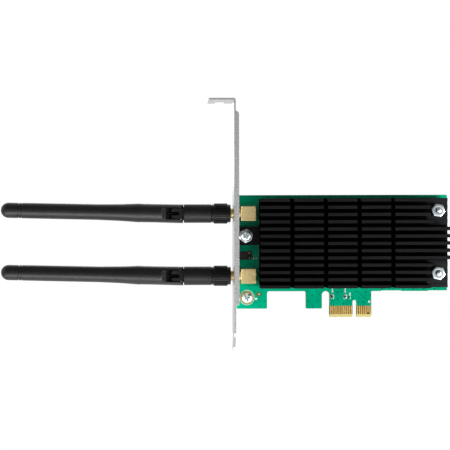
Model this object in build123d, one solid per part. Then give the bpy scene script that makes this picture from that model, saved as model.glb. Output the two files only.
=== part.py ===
from build123d import *
import os
from math import cos, radians, sin

os.makedirs("parts", exist_ok=True)

# Row frame in millimetres: +X to the right along the board, +Z up, the component side faces -Y.
# The origin is the middle of the key notch, on the bottom edge of the edge connector.

# Clearances
running_gap = 0.05
hinge_gap = 0.10
seat_gap = 0.04
body_gap = 0.30
thread_gap = 0.075
press_gap = 0.01

# Circuit board
pcb_thick = 1.57
board_left = -57.20
board_right = 44.95
board_top = 59.30
board_bottom = 12.60
scar_depth = 0.28
scar_length = 10.0
scar_starts = (13.0, 35.6)
board_corner_r = 0.5
side_tab_bottom = 4.20
left_tab_right = -42.40
mid_tab_left = -23.60
mid_tab_right = -15.80
cutout_corner_r = 1.0
bevel_height = 1.4
bevel_depth = 0.5

# Edge connector
finger_left = -12.15
finger_right = 8.15
key_width = 1.9
key_height = 8.25
contact_pitch = 1.0
contact_width = 0.70
contact_thick = 0.05
contact_bottom = 1.45
contact_top = 5.45
short_contact_bottom = 2.20
contacts_before_key = 11
contacts_after_key = 7
key_to_contact = 1.5

# Screws and nuts
screw_r = 1.5
screw_hole_r = 1.6
head_r = 2.75
head_height = 1.9
head_crown = ((0.29, 1.0), (0.62, 0.86), (0.90, 0.58), (1.0, 0.30))
hex_head_flat = 1.7
hex_head_crown = 1.3
hex_crown = ((0.0, 1.0), (0.46, 0.88), (0.85, 0.62), (1.0, 0.30))
recess_span = 3.2
recess_width = 0.85
recess_depth = 1.0
nut_across = 5.85
nut_height = 2.4
nut_lead_in = 0.45
screw_end_proud = 1.3
screw_end_steps = 5
bolt_x = 39.20
bolt_low_z = 21.60
bolt_high_z = 51.70
ear_screw_x = -52.90
ear_screw_z = 39.65
bracket_screw_x = -52.20
bracket_screw_z = 9.60
bolt_high_turn = 50.0
bolt_low_turn = 47.5
ear_screw_turn = 23.0
bracket_screw_turn = 12.0
land_r = 3.2
land_thick = 0.05
spare_pad_x = -46.35
spare_pad_z = 11.26
spare_pad_r = 0.60

# Heatsink
sink_left = -46.35
sink_right = 44.20
sink_bottom = 14.65
sink_top = 57.70
sink_corner_r = 0.9
sink_stand = 1.6
sink_base_thick = 2.4
sink_fin_height = 8.0
fin_count = 13
fin_tip_thick = 1.60
fin_root_thick = 1.80
fin_tip_chamfer = 0.18
groove_count = 4
groove_width = 2.1
groove_first = 15.0
groove_pitch = 15.95
ear_width = 9.0
ear_left = -56.60
pocket_left = 34.40
pocket_floor = 0.30
pocket_corner_r = 4.5
cut_fins = 4
spacer_r = 2.8

# Chips under the heatsink, and small parts on the board
wifi_chip_size = 12.0
wifi_chip_x = -8.0
wifi_chip_z = 36.2
chip_height = 0.9
frontend_size = 5.0
frontend_x = -36.0
frontend_z = (50.0, 22.5)
frontend_height = 0.9
crystal_x = 10.0
crystal_z = 36.2
crystal_size = (3.2, 0.8, 2.5)
chip_part_height = 0.5
large_chip_part = (0.8, 1.6)
small_chip_part = (0.5, 1.0)
large_chip_spots = ((-10.62, 10.00), (-4.44, 10.00))
small_chip_spot = (-2.20, 9.45)
lying_chip_spot = (-48.35, 28.75)
block_left = -57.00
block_right = -50.27
block_low = 28.05
block_high = 32.05
block_height = 1.1
terminal_r = 0.30
terminal_inset = 0.68
terminal_spacing = 2.40
terminal_proud = 0.08

# Coaxial jacks
jack_z = (50.45, 20.45)
jack_axis_height = 3.3
jack_left = -55.25
jack_right = -48.20
jack_width = 7.0
jack_height = 6.8
jack_bevel_in = 0.25
jack_bevel_down = 0.2
jack_neck_r = 2.35
jack_thread_r = 3.175
jack_thread_start = -60.40
jack_mouth = -66.80
jack_seat = -65.00
jack_seat_r = 2.33
jack_insulator_r = 2.05
jack_pin_r = 0.455
jack_pin_tip = -66.60
jack_leg_spacing = 5.08
jack_leg_size = 1.0
jack_leg_proud = 1.1
jack_leg_hole_r = 0.80
jack_foot_r = 1.55
solder_r = 1.25
solder_height = 0.85
solder_slope = ((0.0, 1.0), (0.35, 0.80), (1.0, 0.62))
barrel_lead_in = 0.4

# Bracket
bracket_thick = 0.86
bracket_face = -59.05
bracket_width = 18.45
bracket_edge_behind = 1.37
bracket_top = 105.0
bracket_shoulder = -8.0
bracket_tip = -15.0
tab_end = -71.25
tab_corner_r = 1.2
bend_outer_r = 1.2
bend_inner_r = 0.35
notch_x = -65.40
notch_from_edge = 4.215
notch_r = 2.21
flange_width = 2.40
flange_top = 99.0
flange_bottom = 7.25
flange_top_r = 1.9
flange_bottom_r = 0.6
tongue_width = 10.19
tongue_lean = 0.30
tongue_corner_r = 2.0
shoulder_corner_r = 2.0
jack_hole_r = 3.40
lug_width = 8.0
lug_right = -48.60
lug_relief = 0.7
lug_collar_r = 2.4
lug_collar_height = 1.1

# Antenna, measured along X from the jack and outwards
nut_mouth = -60.30
nut_grip_start = -61.75
nut_grip_end = -68.35
nut_tail = -69.15
grip_r = 4.90
grip_grooves = 24
grip_groove_width = 0.55
grip_groove_depth = 0.32
grip_chamfer = 0.30
mouth_collar_r = 4.30
tail_collar_r = 4.38
nut_insert_r = 4.0
nut_insert_mouth = -60.70
nut_insert_back = -66.95
nut_insert_tail = -68.20
tail_recess_r = 4.00
tail_recess_depth = 0.40
ring_front = -67.35
ring_back = -67.80
ring_groove_depth = 0.32
ring_split = 0.8

ferrule_front_r = 2.28
ferrule_stem_r = 2.70
ferrule_bore_r = 2.05
ferrule_end = -74.50
barb_r = 3.00
barb_front = -73.00
barb_back = -73.60
plug_core_end = -72.20
plug_socket_r = 0.64
plug_socket_bore_r = 0.48
plug_socket_end = -72.40
plug_socket_depth = 2.6

knuckle_front = -69.30
knuckle_shoulder = -82.78
knuckle_r = 4.48
knuckle_edge_r = 0.35
knuckle_hub_r = 3.80
knuckle_hub_length = 0.35
heel_width = 6.6
heel_end = -85.20
prong_width = 5.0
prong_tip_r = 2.45
slit_width = 1.8
slit_end = -85.10
pivot_x = -87.39
boss_r = 1.25
boss_reach = 3.45
cable_r = 0.60
cable_break = 0.70

cheek_r = 4.34
slot_width = 5.80
slot_back = 2.90
slot_end = -91.35
relief_end = -93.20
relief_depth = 0.95
relief_corner_r = 1.3
blade_bore_r = 2.35
blade_bore_start = -94.00
blade_bore_end = -163.50
blade_end = -160.55
blade_end_r = 3.76
blade_outside = 6.0
blade_profile = (
    (-84.60, 4.54),
    (-90.00, 4.50),
    (-96.50, 4.45),
    (-101.00, 4.46),
    (-104.12, 4.50),
)
flare_profile = (
    (-104.12, 4.56),
    (-107.70, 4.38),
    (-110.60, 4.20),
    (-113.50, 4.07),
    (-116.40, 3.99),
    (-119.30, 3.92),
    (-124.10, 3.80),
    (-140.00, 3.79),
)
parting_gap = 0.12
parting_depth = 0.18
tip_ring_front = -160.90
tip_ring_back = -162.05
tip_neck = -162.45
tip_r = 3.72
tip_ring_r = 3.70
tip_neck_r = 3.38
tip_end = -170.96
tip_dome_steps = 12
tip_edge_break = 0.12
tip_spigot_end = -157.50
tip_spigot_r = 2.25
blade_lean = 1.30

sleeve_r = 2.28
sleeve_wall = 0.3
sleeve_start = -96.00
sleeve_end = -124.00
wire_r = 0.25
wire_length = 27.0

# Places worked out from the sizes above
pcb_front = -pcb_thick / 2
pcb_back = pcb_thick / 2
sink_floor = sink_stand + sink_base_thick
sink_tip = sink_floor + sink_fin_height
fin_pitch = (sink_top - sink_bottom - fin_root_thick) / (fin_count - 1)
jack_y = pcb_front - jack_axis_height
jack_middle = (jack_left + jack_right) / 2
bracket_inner = bracket_face + bracket_thick
bracket_far = pcb_back + bracket_thick + bracket_edge_behind
bracket_near = bracket_far - bracket_width
notch_y = bracket_far - notch_from_edge
screw_tip = pcb_back + bracket_thick + lug_collar_height


def front(height):
    """Y of a plane that stands the given height off the component side."""
    return pcb_front - height


def box(x0, x1, y0, y1, z0, z1):
    """A block between two corners."""
    middle = Pos((x0 + x1) / 2, (y0 + y1) / 2, (z0 + z1) / 2)
    return middle * Box(abs(x1 - x0), abs(y1 - y0), abs(z1 - z0))


def rod_x(x0, x1, radius, y=0.0, z=0.0):
    """A round bar along X."""
    return Pos((x0 + x1) / 2, y, z) * Rot(0, 90, 0) * Cylinder(radius, abs(x1 - x0))


def peg_y(y0, y1, radius, x, z):
    """A round bar along Y."""
    return Pos(x, (y0 + y1) / 2, z) * Rot(90, 0, 0) * Cylinder(radius, abs(y1 - y0))


def post_z(z0, z1, radius, x=0.0, y=0.0):
    """A round bar along Z."""
    return Pos(x, y, (z0 + z1) / 2) * Cylinder(radius, abs(z1 - z0))


def turned_x(points):
    """A body of revolution about X from (x, radius) points."""
    profile = make_face(Polyline(*[(x, r, 0) for x, r in points], close=True))
    return revolve(profile, Axis.X, 360)


def turned_y(points, x, z):
    """A body of revolution about Y from (y, radius) points, moved to x and z."""
    profile = make_face(Polyline(*[(r, y, 0) for y, r in points], close=True))
    return Pos(x, 0, z) * revolve(profile, Axis.Y, 360)


def facing_plane(x, y, z, turn=0.0):
    """A drawing plane whose normal is -Y, turned about that normal."""
    return Plane(origin=(x, y, z), x_dir=(cos(radians(turn)), 0, sin(radians(turn))), z_dir=(0, -1, 0))


def rounded_at(shape, places, radius):
    """Rounds the corners of a flat outline that lie nearest the given (x, y) places."""
    for place in places:
        corner = min(shape.vertices(), key=lambda v: (v.X - place[0]) ** 2 + (v.Y - place[1]) ** 2)
        shape = fillet(corner, radius)
    return shape


def plate_area(x0, x1, z0, z1):
    """A rectangle in the (x, z) drawing plane of the board."""
    return Pos((x0 + x1) / 2, (z0 + z1) / 2) * Rectangle(x1 - x0, z1 - z0)


def thick_outline(outline, y0, y1):
    """Raises an (x, z) outline into a plate between two Y planes, y0 being nearer the viewer."""
    return extrude(Plane(origin=(0, y1, 0), x_dir=(1, 0, 0), z_dir=(0, -1, 0)) * outline, amount=y1 - y0)


# Circuit board

def contact_places():
    """X of every contact of the edge connector, in order."""
    first = -key_to_contact - (contacts_before_key - 1) * contact_pitch
    before = [first + i * contact_pitch for i in range(contacts_before_key)]
    after = [key_to_contact + i * contact_pitch for i in range(contacts_after_key)]
    return before + after


def leg_places(z):
    """X and Z of the four legs of a jack."""
    half = jack_leg_spacing / 2
    return [(jack_middle + dx, z + dz) for dx in (-half, half) for dz in (-half, half)]


def board_outline():
    """The board's outline with its tabs, notches and rounded corners."""
    lap = 1.0
    outline = plate_area(board_left, board_right, board_bottom, board_top)
    outline += plate_area(board_left, left_tab_right, side_tab_bottom, board_bottom + lap)
    outline += plate_area(mid_tab_left, mid_tab_right, side_tab_bottom, board_bottom + lap)
    outline += plate_area(finger_left, finger_right, 0, board_bottom + lap)
    notch_r = (finger_left - mid_tab_right) / 2 - seat_gap / 2
    outline = rounded_at(outline, [(mid_tab_right, board_bottom), (finger_left, board_bottom)], notch_r)
    cutout = [(left_tab_right, board_bottom), (mid_tab_left, board_bottom)]
    outline = rounded_at(outline, cutout, cutout_corner_r)
    outer = [
        (board_left, board_top),
        (board_right, board_top),
        (board_right, board_bottom),
        (board_left, side_tab_bottom),
        (left_tab_right, side_tab_bottom),
        (mid_tab_left, side_tab_bottom),
        (mid_tab_right, side_tab_bottom),
        (finger_left, 0),
        (finger_right, 0),
        (finger_right, board_bottom),
    ]
    outline = rounded_at(outline, outer, board_corner_r)
    key = plate_area(-key_width / 2, key_width / 2, -lap, key_height - key_width / 2)
    key += Pos(0, key_height - key_width / 2) * Circle(key_width / 2)
    return outline - key


def bevel_cut(side):
    """The wedge that comes off one face of the connector's edge."""
    surface = side * pcb_thick / 2
    outside = side * (pcb_thick / 2 + 1)
    edge = side * (pcb_thick / 2 - bevel_depth)
    slope = bevel_depth / bevel_height
    points = [
        (0, edge - side * slope, -1),
        (0, surface, bevel_height),
        (0, outside, bevel_height),
        (0, outside, -1),
    ]
    wedge = make_face(Polyline(*points, close=True))
    width = finger_right - finger_left
    return Pos(finger_left - 1, 0, 0) * extrude(wedge, amount=width + 2, dir=(1, 0, 0))


def make_pcb():
    """The laminate with its holes and the bevelled connector edge."""
    board = thick_outline(board_outline(), pcb_front, pcb_back)
    for side in (-1, 1):
        board -= bevel_cut(side)
    for start in scar_starts:
        board -= box(start, start + scar_length, -pcb_thick, pcb_thick, 0, board_bottom + scar_depth)
    holes = [(bolt_x, bolt_low_z), (bolt_x, bolt_high_z)]
    holes += [(ear_screw_x, ear_screw_z), (bracket_screw_x, bracket_screw_z)]
    for x, z in holes:
        board -= peg_y(pcb_front - 1, pcb_back + 1, screw_hole_r, x, z)
    for z in jack_z:
        for x, leg_z in leg_places(z):
            board -= peg_y(pcb_front - 1, pcb_back + 1, jack_leg_hole_r, x, leg_z)
        board -= peg_y(pcb_front - 1, pcb_back + 1, jack_leg_hole_r, jack_middle, z)
    return board


def make_contacts(side):
    """The gold contacts of one face; one contact is short so that it mates last."""
    places = contact_places()
    short = places[-2] if side < 0 else places[0]
    surface = side * pcb_thick / 2
    strips = []
    for x in places:
        low = short_contact_bottom if x == short else contact_bottom
        half = contact_width / 2
        strips.append(box(x - half, x + half, surface, surface + side * contact_thick, low, contact_top))
    return Compound(strips)


def make_screw_land():
    """The gilded ring on the board round the bracket screw's head."""
    ring = peg_y(pcb_front, front(land_thick), land_r, bracket_screw_x, bracket_screw_z)
    return ring - peg_y(pcb_front + 1, front(1), screw_hole_r, bracket_screw_x, bracket_screw_z)


def make_spare_pad():
    """The small round gilded pad beside the bracket screw."""
    return peg_y(pcb_front, front(land_thick), spare_pad_r, spare_pad_x, spare_pad_z)


# Chips and small parts

def chip(x, z, size, low, high):
    """A square flat package between two heights off the board."""
    half = size / 2
    return box(x - half, x + half, front(high), front(low), z - half, z + half)


def make_frontend_chips():
    """The two radio front-end packages, one behind each jack."""
    return Compound([chip(frontend_x, z, frontend_size, 0, frontend_height) for z in frontend_z])


def make_thermal_pads():
    """Soft pads that fill the space between the packages and the heatsink."""
    pads = [chip(wifi_chip_x, wifi_chip_z, wifi_chip_size, chip_height, sink_stand)]
    pads += [chip(frontend_x, z, frontend_size, frontend_height, sink_stand) for z in frontend_z]
    return Compound(pads)


def make_crystal():
    """The clock crystal's metal can."""
    length, height, width = crystal_size
    can = box(-length / 2, length / 2, front(height), pcb_front, -width / 2, width / 2)
    return Pos(crystal_x, 0, crystal_z) * can


def chip_part(spot, size):
    """One small two-ended part on the board, from its place and its sizes along X and Z."""
    x, z = spot
    width, length = size
    low = z - length / 2
    return box(x - width / 2, x + width / 2, front(chip_part_height), pcb_front, low, low + length)


def make_chip_capacitors():
    """The small two-ended chip parts that can be seen round the heatsink."""
    parts = [chip_part(spot, large_chip_part) for spot in large_chip_spots]
    parts.append(chip_part(small_chip_spot, small_chip_part))
    parts.append(chip_part(lying_chip_spot, large_chip_part[::-1]))
    return Compound(parts)


def make_edge_block():
    """The black two-terminal block beside the bracket."""
    block = box(block_left, block_right, front(block_height), pcb_front, block_low, block_high)
    return block - make_block_terminals(0.0)


def make_block_terminals(proud=terminal_proud):
    """The block's two gilded terminals, standing slightly proud of its face."""
    middle = (block_low + block_high) / 2
    x = block_right - terminal_inset
    spots = [middle - terminal_spacing / 2, middle + terminal_spacing / 2]
    return Compound([peg_y(pcb_front, front(block_height + proud), terminal_r, x, z) for z in spots])


# Heatsink

def fin_middle(index):
    """Z of the middle of a fin, counted from the top."""
    return sink_top - fin_root_thick / 2 - index * fin_pitch


def make_fin(index):
    """One fin: a tapered bar with its tip edges broken."""
    z = fin_middle(index)
    root = fin_root_thick / 2
    tip = fin_tip_thick / 2
    c = fin_tip_chamfer
    lap = 0.5
    points = [
        (sink_left, front(sink_floor - lap), z - root),
        (sink_left, front(sink_floor), z - root),
        (sink_left, front(sink_tip - c), z - tip),
        (sink_left, front(sink_tip), z - tip + c),
        (sink_left, front(sink_tip), z + tip - c),
        (sink_left, front(sink_tip - c), z + tip),
        (sink_left, front(sink_floor), z + root),
        (sink_left, front(sink_floor - lap), z + root),
    ]
    face = make_face(Polyline(*points, close=True))
    return extrude(face, amount=sink_right - sink_left, dir=(1, 0, 0))


def sink_pocket(z0, z1, inner_corner):
    """The space milled out of the fins for a nut, with one rounded inner corner."""
    lap = 1.0
    area = plate_area(pocket_left, sink_right + lap, z0, z1)
    area = rounded_at(area, [(pocket_left, inner_corner)], pocket_corner_r)
    return thick_outline(area, front(sink_tip + lap), front(sink_floor + pocket_floor))


def make_heatsink():
    """The finned plate with its side ear, cross grooves, nut pockets and screw holes."""
    base = thick_outline(
        rounded_at(
            plate_area(sink_left, sink_right, sink_bottom, sink_top),
            [(sink_left, sink_bottom), (sink_left, sink_top)],
            sink_corner_r,
        ),
        front(sink_floor),
        front(sink_stand),
    )
    ear = box(
        ear_left,
        sink_left + 1,
        front(sink_floor),
        front(sink_stand),
        ear_screw_z - ear_width / 2,
        ear_screw_z + ear_width / 2,
    )
    body = base + ear
    for index in range(fin_count):
        body += make_fin(index)
    for index in range(groove_count):
        x = sink_left + groove_first + index * groove_pitch
        half = groove_width / 2
        body -= box(x - half, x + half, front(sink_tip + 1), front(sink_floor), sink_bottom - 1, sink_top + 1)
    upper_limit = (fin_middle(cut_fins - 1) + fin_middle(cut_fins)) / 2
    lower_limit = (fin_middle(fin_count - cut_fins) + fin_middle(fin_count - cut_fins - 1)) / 2
    body -= sink_pocket(upper_limit, sink_top + 1, upper_limit)
    body -= sink_pocket(sink_bottom - 1, lower_limit, lower_limit)
    for x, z in [(bolt_x, bolt_low_z), (bolt_x, bolt_high_z), (ear_screw_x, ear_screw_z)]:
        body -= peg_y(front(sink_tip + 1), front(sink_stand - 1), screw_hole_r, x, z)
    return body


def make_spacers():
    """Washers that hold the heatsink off the board at its three screws."""
    rings = []
    for x, z in [(bolt_x, bolt_low_z), (bolt_x, bolt_high_z), (ear_screw_x, ear_screw_z)]:
        ring = peg_y(pcb_front, front(sink_stand), spacer_r, x, z)
        rings.append(ring - peg_y(pcb_front + 1, front(sink_stand + 1), screw_hole_r, x, z))
    return Compound(rings)


# Screws and nuts

def cross_recess(x, z, top, turn):
    """The cross-shaped driver recess sunk from a head's top."""
    y = front(top)
    cut = None
    for extra in (0, 90):
        plane = facing_plane(x, y + recess_depth, z, turn + extra)
        arm = extrude(plane * Rectangle(recess_span, recess_width), amount=recess_depth + 1)
        cut = arm if cut is None else cut + arm
    return cut


def crowned(seat, direction, height, shape):
    """Profile points of a domed head, from (height share, radius share) pairs."""
    points = [(seat, 0)]
    points += [(seat + direction * height * up, head_r * out) for up, out in shape]
    return points + [(seat + direction * height, 0)]


def pan_head(x, z, seat, direction):
    """A domed screw head that stands from the seat plane towards the given direction along Y."""
    rim = ((0.0, 1.0),) + head_crown
    return turned_y(crowned(seat, direction, head_height, rim), x, z)


def domed_end(x, z, shoulder):
    """A screw's rounded end that rises from the shoulder height off the board."""
    y = front(shoulder)
    points = [(y, 0), (y, screw_r)]
    for step in range(1, screw_end_steps + 1):
        angle = radians(90 * step / screw_end_steps)
        points.append((y - screw_end_proud * sin(angle), screw_r * cos(angle)))
    return turned_y(points, x, z)


def make_heatsink_screws():
    """The two screws from the solder side through the heatsink's right corners."""
    screws = []
    nut_top = sink_floor + pocket_floor + nut_height
    for z in (bolt_low_z, bolt_high_z):
        head = pan_head(bolt_x, z, pcb_back, 1)
        floor = pcb_back + head_height - recess_depth
        plane = Plane(origin=(bolt_x, floor, z), x_dir=(1, 0, 0), z_dir=(0, 1, 0))
        for turn in (0, 90):
            arm = plane * Rot(0, 0, turn) * Rectangle(recess_span, recess_width)
            head -= extrude(arm, amount=recess_depth + 1)
        shank = peg_y(pcb_back, front(nut_top), screw_r, bolt_x, z)
        screws.append(head + shank + domed_end(bolt_x, z, nut_top))
    return Compound(screws)


def hexagon(x, z, low, high, turn):
    """A hexagonal prism between two heights off the board."""
    plane = facing_plane(x, front(low), z, turn)
    area = RegularPolygon(radius=nut_across / 2, side_count=6, major_radius=False)
    return extrude(plane * area, amount=high - low)


def corner_break(x, z, low, high):
    """The coned solid that takes the sharp corners off the top of a hexagon."""
    big = nut_across / 2 / cos(radians(30)) + 0.3
    small = nut_across / 2 - 0.1
    points = [
        (front(low), 0),
        (front(low), big),
        (front(high - nut_lead_in), big),
        (front(high), small),
        (front(high), 0),
    ]
    return turned_y(points, x, z)


def make_nut(x, z, turn):
    """One plain hexagon nut on the floor of its pocket."""
    low = sink_floor + pocket_floor
    high = low + nut_height
    nut = hexagon(x, z, low, high, turn) & corner_break(x, z, low, high)
    return nut - peg_y(front(low - 1), front(high + 1), screw_r + seat_gap, x, z)


def make_heatsink_nuts():
    """The two hexagon nuts in the heatsink's pockets."""
    high = make_nut(bolt_x, bolt_high_z, bolt_high_turn)
    low = make_nut(bolt_x, bolt_low_z, bolt_low_turn)
    return Compound([high, low])


def make_ear_screw():
    """The hexagon-headed screw with a domed, cross-recessed crown that holds the heatsink's ear."""
    flat = sink_floor + hex_head_flat
    top = flat + hex_head_crown
    head = hexagon(ear_screw_x, ear_screw_z, sink_floor, flat, ear_screw_turn)
    head &= corner_break(ear_screw_x, ear_screw_z, sink_floor, flat)
    head += turned_y(crowned(front(flat), -1, hex_head_crown, hex_crown), ear_screw_x, ear_screw_z)
    head -= cross_recess(ear_screw_x, ear_screw_z, top, ear_screw_turn)
    return head + peg_y(front(flat - recess_depth), screw_tip, screw_r, ear_screw_x, ear_screw_z)


def make_bracket_screw():
    """The domed screw that holds the board's lower corner to the bracket."""
    head = pan_head(bracket_screw_x, bracket_screw_z, front(land_thick), -1)
    head -= cross_recess(bracket_screw_x, bracket_screw_z, land_thick + head_height, bracket_screw_turn)
    return head + peg_y(front(land_thick), screw_tip, screw_r, bracket_screw_x, bracket_screw_z)


# Bracket

def bracket_strip():
    """The plate and its outward top tab, as one bent strip."""
    under = bracket_top - bracket_thick
    points = [
        (tab_end, bracket_top),
        (bracket_inner, bracket_top),
        (bracket_inner, bracket_shoulder),
        (bracket_face, bracket_shoulder),
        (bracket_face, under),
        (tab_end, under),
    ]
    outline = make_face(Polyline(*points, close=True))
    outline = rounded_at(outline, [(bracket_inner, bracket_top)], bend_outer_r)
    outline = rounded_at(outline, [(bracket_face, under)], bend_inner_r)
    strip = thick_outline(outline, bracket_near, bracket_far)
    ends = strip.edges().filter_by(Axis.Z).group_by(Axis.X)[0]
    strip = fillet(ends, tab_corner_r)
    corners = strip.edges().filter_by(Axis.X).group_by(Axis.Z)[0]
    return fillet(corners, shoulder_corner_r)


def bracket_flange():
    """The stiffening flange along the near edge, turned in towards the board."""
    area = plate_area(bracket_face, bracket_face + flange_width, flange_bottom, flange_top)
    right = bracket_face + flange_width
    area = rounded_at(area, [(right, flange_top)], flange_top_r)
    area = rounded_at(area, [(right, flange_bottom)], flange_bottom_r)
    return thick_outline(area, bracket_near, bracket_near + bracket_thick)


def bracket_tongue():
    """The narrow lower tongue, bent very slightly outwards."""
    lap = 1.0
    points = [
        (bracket_face, bracket_shoulder + lap),
        (bracket_inner, bracket_shoulder + lap),
        (bracket_inner, bracket_shoulder),
        (bracket_inner - tongue_lean, bracket_tip),
        (bracket_face - tongue_lean, bracket_tip),
        (bracket_face, bracket_shoulder),
    ]
    outline = make_face(Polyline(*points, close=True))
    side = (bracket_width - tongue_width) / 2
    tongue = thick_outline(outline, bracket_near + side, bracket_far - side)
    ends = tongue.edges().filter_by(Axis.X).group_by(Axis.Z)[0]
    return fillet(ends, tongue_corner_r)


def bracket_lug(x, z):
    """A lug bent under the board, with a drawn and threaded collar round the screw."""
    half = lug_width / 2
    area = plate_area(bracket_face, lug_right, z - half, z + half)
    area = rounded_at(area, [(lug_right, z - half), (lug_right, z + half)], tab_corner_r)
    lug = thick_outline(area, pcb_back, pcb_back + bracket_thick)
    back = pcb_back + bracket_thick
    lug += peg_y(back - seat_gap, back + lug_collar_height, lug_collar_r, x, z)
    return lug - peg_y(pcb_back - 1, back + lug_collar_height + 1, screw_r + seat_gap, x, z)


def make_bracket():
    """The slot bracket in one piece of sheet."""
    body = bracket_strip() + bracket_flange() + bracket_tongue()
    body -= post_z(bracket_top - 2, bracket_top + 1, notch_r, notch_x, notch_y)
    body -= box(
        notch_x - notch_r, notch_x + notch_r, notch_y, bracket_far + 1, bracket_top - 2, bracket_top + 1
    )
    for z in jack_z:
        body -= rod_x(bracket_face - 1, bracket_inner + 1, jack_hole_r, jack_y, z)
    back = pcb_back + bracket_thick
    half = lug_width / 2 + lug_relief
    for z in (ear_screw_z, bracket_screw_z):
        body -= box(bracket_face - 1, bracket_inner + 1, back, bracket_far + 1, z - half, z + half)
    for x, z in [(ear_screw_x, ear_screw_z), (bracket_screw_x, bracket_screw_z)]:
        body += bracket_lug(x, z)
    return body


# Coaxial jacks, drawn about the axis y = 0, z = 0

def make_jack_body():
    """The gilded jack: bevelled block, legs, neck and threaded barrel."""
    rise = front(0) - jack_y
    top = rise - jack_height
    half = jack_width / 2
    block = box(jack_left, jack_right, top + jack_bevel_down, rise, -half, half)
    plane = Plane(
        origin=(jack_middle, top + jack_bevel_down, 0), x_dir=(1, 0, 0), z_dir=(0, -1, 0)
    )
    big = plane * Rectangle(jack_right - jack_left, jack_width)
    small = plane.offset(jack_bevel_down) * Rectangle(
        jack_right - jack_left - 2 * jack_bevel_in, jack_width - 2 * jack_bevel_in
    )
    block += loft([big, small])
    barrel = turned_x([
        (jack_left + 1, 0),
        (jack_left + 1, jack_neck_r),
        (jack_thread_start, jack_neck_r),
        (jack_thread_start, jack_thread_r),
        (jack_mouth + barrel_lead_in, jack_thread_r),
        (jack_mouth, jack_thread_r - barrel_lead_in),
        (jack_mouth, 0),
    ])
    body = block + barrel
    bore_r = jack_insulator_r + press_gap
    body -= rod_x(jack_mouth - 1, jack_seat, jack_seat_r)
    body -= rod_x(jack_mouth - 1, jack_middle + jack_foot_r, bore_r)
    body -= peg_y(0, rise + 1, jack_foot_r + press_gap, jack_middle, 0)
    leg = jack_leg_size / 2
    tip = rise + pcb_thick + jack_leg_proud
    spread = jack_leg_spacing / 2
    for dx in (-spread, spread):
        for dz in (-spread, spread):
            x = jack_middle + dx
            body += box(x - leg, x + leg, rise - 1, tip, dz - leg, dz + leg)
    return body


def make_jack_insulator():
    """The white insulator inside the jack, with its foot down to the board."""
    rise = front(0) - jack_y
    core = rod_x(jack_seat, jack_middle + jack_foot_r - press_gap, jack_insulator_r)
    foot = peg_y(0, rise, jack_foot_r, jack_middle, 0)
    hole = rod_x(jack_seat - 1, jack_middle, jack_pin_r + press_gap)
    drop = peg_y(0, rise + 1, jack_pin_r + press_gap, jack_middle, 0)
    corner = Pos(jack_middle, 0, 0) * Sphere(jack_pin_r + press_gap)
    return core + foot - hole - drop - corner


def make_jack_pin():
    """The centre pin: along the barrel, then down through the board."""
    rise = front(0) - jack_y
    tip = rise + pcb_thick + jack_leg_proud
    along = rod_x(jack_pin_tip, jack_middle, jack_pin_r)
    down = peg_y(0, tip, jack_pin_r, jack_middle, 0)
    return along + down + Pos(jack_middle, 0, 0) * Sphere(jack_pin_r)


def make_solder_joints():
    """Solder cones round every jack leg and pin on the back of the board."""
    joints = []
    for z in jack_z:
        leg = jack_leg_size / 2
        spots = [(x, leg_z, False) for x, leg_z in leg_places(z)]
        spots.append((jack_middle, z, True))
        for x, spot_z, is_pin in spots:
            slope = [(pcb_back + solder_height * up, solder_r * out) for up, out in solder_slope]
            cone = turned_y([(pcb_back, 0)] + slope + [(pcb_back + solder_height, 0)], x, spot_z)
            above = pcb_back + 2 * solder_height
            if is_pin:
                cone -= peg_y(pcb_front, above, jack_pin_r, x, spot_z)
            else:
                cone -= box(x - leg, x + leg, pcb_front, above, spot_z - leg, spot_z + leg)
            joints.append(cone)
    return Compound(joints)


# Antenna, drawn about the axis y = 0, z = 0

def make_grip():
    """The plastic grip over the coupling nut, with shallow grooves along it."""
    grip = turned_x([
        (nut_grip_start, 0),
        (nut_grip_start, grip_r - grip_chamfer),
        (nut_grip_start - grip_chamfer, grip_r),
        (nut_grip_end + grip_chamfer, grip_r),
        (nut_grip_end, grip_r - grip_chamfer),
        (nut_grip_end, 0),
    ])
    length = nut_grip_start - nut_grip_end
    middle = (nut_grip_start + nut_grip_end) / 2
    for index in range(grip_grooves):
        turn = Rot(360 * index / grip_grooves, 0, 0)
        cutter = Box(length + 2, 2 * grip_groove_depth, grip_groove_width)
        grip -= turn * Pos(middle, -grip_r, 0) * cutter
    grip += rod_x(nut_mouth, nut_grip_start - 1, mouth_collar_r)
    grip += rod_x(nut_tail, nut_grip_end + 1, tail_collar_r)
    grip -= rod_x(nut_mouth + 1, nut_insert_tail, nut_insert_r)
    grip -= rod_x(nut_tail + tail_recess_depth, nut_tail - 1, tail_recess_r)
    return grip - rod_x(nut_tail - 1, nut_insert_tail + 1, ferrule_stem_r + body_gap)


def make_coupling_nut():
    """The brass nut, its thread bore and the groove for the snap ring."""
    bore_r = jack_thread_r + thread_gap
    stem_bore_r = ferrule_stem_r + running_gap
    nut = rod_x(nut_insert_mouth, nut_insert_tail, nut_insert_r - press_gap)
    nut -= rod_x(nut_insert_mouth + 1, nut_insert_back, bore_r)
    nut -= rod_x(nut_insert_mouth + 1, nut_insert_tail - 1, stem_bore_r)
    return nut - rod_x(ring_front, ring_back, stem_bore_r + ring_groove_depth)


def make_snap_ring():
    """The split ring that holds the nut on the plug."""
    side = running_gap
    outer = ferrule_stem_r + running_gap + ring_groove_depth - side
    inner = ferrule_stem_r - ring_groove_depth + side
    ring = rod_x(ring_front - side, ring_back + side, outer)
    ring -= rod_x(ring_front + 1, ring_back - 1, inner)
    return ring - box(ring_front + 1, ring_back - 1, -ring_split / 2, ring_split / 2, 0, outer + 1)


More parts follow.
